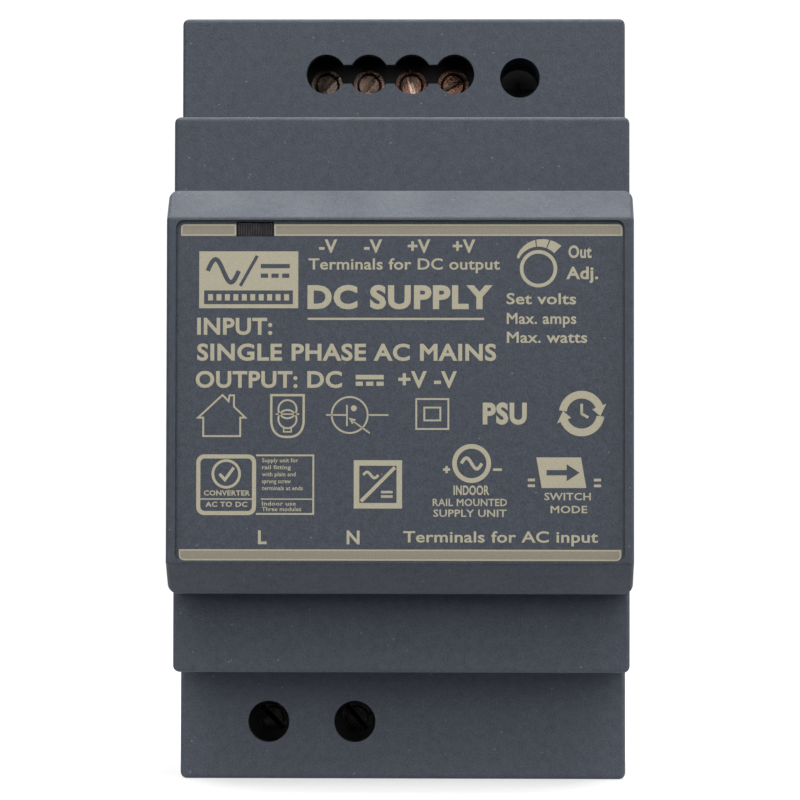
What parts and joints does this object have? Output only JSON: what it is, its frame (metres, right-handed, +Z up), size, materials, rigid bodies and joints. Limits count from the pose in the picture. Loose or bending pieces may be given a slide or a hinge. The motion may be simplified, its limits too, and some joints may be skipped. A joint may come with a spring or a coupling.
{
  "type": "din rail power supply",
  "caption": "Stepped three-module DIN rail power supply with screw clamp terminals, a trimmer, a status window and a sprung rail latch.",
  "frame": {"origin": "middle of the rail seat: on the plane of the rail's front face, at the rail's centre line and the middle of the case's width", "axes": "+X along the rail to the right, +Z up across the rail, and the front of the case faces -Y"},
  "size_m": [0.0524, 0.0545, 0.09],
  "materials": {
    "case_plastic": "fine spark-eroded grain, slightly satin",
    "smoked_window": "smoked clear acrylic, polished face",
    "black_plastic": "fine matte moulding",
    "spring_steel": "drawn spring wire",
    "circuit_board": "solder mask over glass laminate",
    "insulation_film": "thin fibre film",
    "tinned_metal": "tin plated or plain aluminium",
    "screw_nickel": "worn nickel plating with a copper tint",
    "clamp_steel": "zinc plated",
    "blue_coating": "dipped blue epoxy",
    "pale_plastic": "plain moulding",
    "dipped_coating": "dipped epoxy",
    "yellow_plastic": "moulded box or polyester tape",
    "ferrite": "sintered ferrite, matte",
    "enamelled_copper": "close wound enamelled wire",
    "capacitor_can": "drawn aluminium can",
    "capacitor_sleeve": "shrink sleeve",
    "bobbin_plastic": "moulded phenolic",
    "chip_ceramic": "surface mount parts"
  },
  "bodies": {
    "housing": {"base_housing": "case_plastic", "front_cover": "case_plastic", "light_pipe": "smoked_window", "latch_spring": "spring_steel", "main_board": "circuit_board", "insulation_sheet": "insulation_film", "output_terminal_block": "black_plastic", "output_contacts": "tinned_metal", "input_terminal_block": "black_plastic", "input_contacts": "tinned_metal", "trimmer_body": "black_plastic", "status_led": "pale_plastic", "fuse": "dipped_coating", "varistor": "blue_coating", "inrush_thermistor": "dipped_coating", "filter_capacitor": "yellow_plastic", "choke_core": "ferrite", "choke_windings": "enamelled_copper", "choke_base": "black_plastic", "bridge_rectifier": "black_plastic", "mains_capacitor_can": "capacitor_can", "mains_capacitor_sleeve": "capacitor_sleeve", "switching_transistor": "black_plastic", "primary_heatsink": "tinned_metal", "transistor_screw": "clamp_steel", "transformer_core": "ferrite", "transformer_bobbin": "bobbin_plastic", "transformer_winding": "enamelled_copper", "transformer_tape": "yellow_plastic", "transformer_pins": "tinned_metal", "safety_capacitors": "blue_coating", "optocoupler": "pale_plastic", "controller_chip": "black_plastic", "chip_parts": "chip_ceramic", "output_rectifier": "black_plastic", "output_heatsink": "tinned_metal", "rectifier_screw": "clamp_steel", "output_capacitors": "capacitor_sleeve", "output_choke_core": "ferrite", "output_choke_coil": "enamelled_copper"},
    "output_screw_1": {"output_screw_1": "screw_nickel"},
    "output_screw_2": {"output_screw_2": "screw_nickel"},
    "output_screw_3": {"output_screw_3": "screw_nickel"},
    "output_screw_4": {"output_screw_4": "screw_nickel"},
    "output_clamp_1": {"output_clamp_1": "clamp_steel"},
    "output_clamp_2": {"output_clamp_2": "clamp_steel"},
    "output_clamp_3": {"output_clamp_3": "clamp_steel"},
    "output_clamp_4": {"output_clamp_4": "clamp_steel"},
    "input_screw_l": {"input_screw_l": "screw_nickel"},
    "input_screw_n": {"input_screw_n": "screw_nickel"},
    "input_clamp_l": {"input_clamp_l": "clamp_steel"},
    "input_clamp_n": {"input_clamp_n": "clamp_steel"},
    "trimmer_rotor": {"trimmer_rotor": "black_plastic"},
    "rail_latch": {"rail_latch": "black_plastic"}
  },
  "joints": [
    {"name": "output_screw_1_turn", "type": "hinge", "parent": "housing", "child": "output_screw_1", "pos_m": [-0.0094, -0.0165, 0.03814], "axis": [0, 1, 0], "range_deg": [0, 1300]},
    {"name": "output_clamp_1_rise", "type": "slide", "parent": "housing", "child": "output_clamp_1", "axis": [0, -1, 0], "range_m": [0, 0.0018]},
    {"name": "output_screw_2_turn", "type": "hinge", "parent": "housing", "child": "output_screw_2", "pos_m": [-0.00432, -0.0165, 0.03814], "axis": [0, 1, 0], "range_deg": [0, 1300]},
    {"name": "output_clamp_2_rise", "type": "slide", "parent": "housing", "child": "output_clamp_2", "axis": [0, -1, 0], "range_m": [0, 0.0018]},
    {"name": "output_screw_3_turn", "type": "hinge", "parent": "housing", "child": "output_screw_3", "pos_m": [0.00076, -0.0165, 0.03814], "axis": [0, 1, 0], "range_deg": [0, 1300]},
    {"name": "output_clamp_3_rise", "type": "slide", "parent": "housing", "child": "output_clamp_3", "axis": [0, -1, 0], "range_m": [0, 0.0018]},
    {"name": "output_screw_4_turn", "type": "hinge", "parent": "housing", "child": "output_screw_4", "pos_m": [0.00584, -0.0165, 0.03814], "axis": [0, 1, 0], "range_deg": [0, 1300]},
    {"name": "output_clamp_4_rise", "type": "slide", "parent": "housing", "child": "output_clamp_4", "axis": [0, -1, 0], "range_m": [0, 0.0018]},
    {"name": "input_screw_l_turn", "type": "hinge", "parent": "housing", "child": "input_screw_l", "pos_m": [-0.01581, -0.0165, -0.03827], "axis": [0, 1, 0], "range_deg": [0, 1300]},
    {"name": "input_clamp_l_rise", "type": "slide", "parent": "housing", "child": "input_clamp_l", "axis": [0, -1, 0], "range_m": [0, 0.0018]},
    {"name": "input_screw_n_turn", "type": "hinge", "parent": "housing", "child": "input_screw_n", "pos_m": [-0.00565, -0.0165, -0.03827], "axis": [0, 1, 0], "range_deg": [0, 1300]},
    {"name": "input_clamp_n_rise", "type": "slide", "parent": "housing", "child": "input_clamp_n", "axis": [0, -1, 0], "range_m": [0, 0.0018]},
    {"name": "trimmer_turn", "type": "hinge", "parent": "housing", "child": "trimmer_rotor", "pos_m": [0.01379, -0.012, 0.03794], "axis": [0, 1, 0], "range_deg": [-120, 120]},
    {"name": "latch_slide", "type": "slide", "parent": "housing", "child": "rail_latch", "axis": [0, 0, -1], "range_m": [0, 0.0035], "stiffness_N_per_m": 1500, "springref_m": -0.004, "deforming": ["latch_spring"]}
  ],
  "couplings": [
    {"joint": "output_screw_1_turn", "follows": "output_clamp_1_rise", "rad_per_m": 12566},
    {"joint": "output_screw_2_turn", "follows": "output_clamp_2_rise", "rad_per_m": 12566},
    {"joint": "output_screw_3_turn", "follows": "output_clamp_3_rise", "rad_per_m": 12566},
    {"joint": "output_screw_4_turn", "follows": "output_clamp_4_rise", "rad_per_m": 12566},
    {"joint": "input_screw_l_turn", "follows": "input_clamp_l_rise", "rad_per_m": 12566},
    {"joint": "input_screw_n_turn", "follows": "input_clamp_n_rise", "rad_per_m": 12566}
  ]
}
